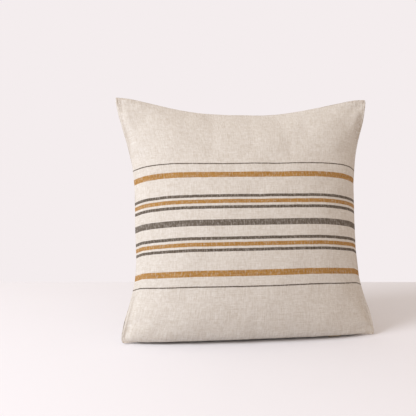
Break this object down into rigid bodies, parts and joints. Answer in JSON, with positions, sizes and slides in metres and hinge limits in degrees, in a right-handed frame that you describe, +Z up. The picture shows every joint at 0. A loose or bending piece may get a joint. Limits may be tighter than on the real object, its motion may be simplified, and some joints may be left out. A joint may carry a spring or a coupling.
{
  "type": "throw pillow",
  "caption": "Square zipped throw pillow with a knife edge, woven stripes and a fibre insert, standing on its bottom edge.",
  "frame": {"origin": "on the floor, below the middle of the pillow's bounding box", "axes": "+X across the front, to the right as the viewer sees it; +Z up; the striped front faces -Y and leans back 12 degrees"},
  "size_m": [0.452, 0.1732, 0.42],
  "materials": {
    "striped_linen": "linen-cotton plain weave, oatmeal with charcoal and ochre stripes",
    "thread": "spun polyester sewing thread",
    "zip_tape": "woven polyester tape",
    "zip_coil": "nylon monofilament coil",
    "zip_metal": "antique brass plate on die-cast zinc",
    "label_tape": "blank satin label tape",
    "insert_cloth": "white cotton cambric",
    "insert_thread": "white sewing thread",
    "fibre_fill": "loose polyester fibre"
  },
  "bodies": {
    "pillow": {"front_panel": "striped_linen", "back_panel": "striped_linen", "seam_needle_thread": "thread", "seam_bobbin_thread": "thread", "allowance_overlock_thread": "thread", "zipper_tape_front": "zip_tape", "zipper_tape_back": "zip_tape", "zipper_coil_front": "zip_coil", "zipper_coil_back": "zip_coil", "zipper_top_stops": "zip_metal", "zipper_bottom_stop": "zip_metal", "zipper_stitching_front": "thread", "zipper_stitching_back": "thread", "zipper_bar_tacks": "thread", "care_label": "label_tape", "insert_front": "insert_cloth", "insert_back": "insert_cloth", "insert_edge_thread": "insert_thread", "insert_closing_stitches": "insert_thread", "insert_label": "label_tape", "fill": "fibre_fill"},
    "slider": {"zipper_slider": "zip_metal"},
    "pull": {"zipper_pull": "zip_metal"}
  },
  "joints": [
    {"name": "zip_slide", "type": "slide", "parent": "pillow", "child": "slider", "axis": [-1, 0, 0], "range_m": [0, 0.286]},
    {"name": "pull_flip", "type": "hinge", "parent": "slider", "child": "pull", "pos_m": [0.144, -0.03867, 0.00182], "axis": [0, 1, 0], "range_deg": [0, 180]}
  ]
}
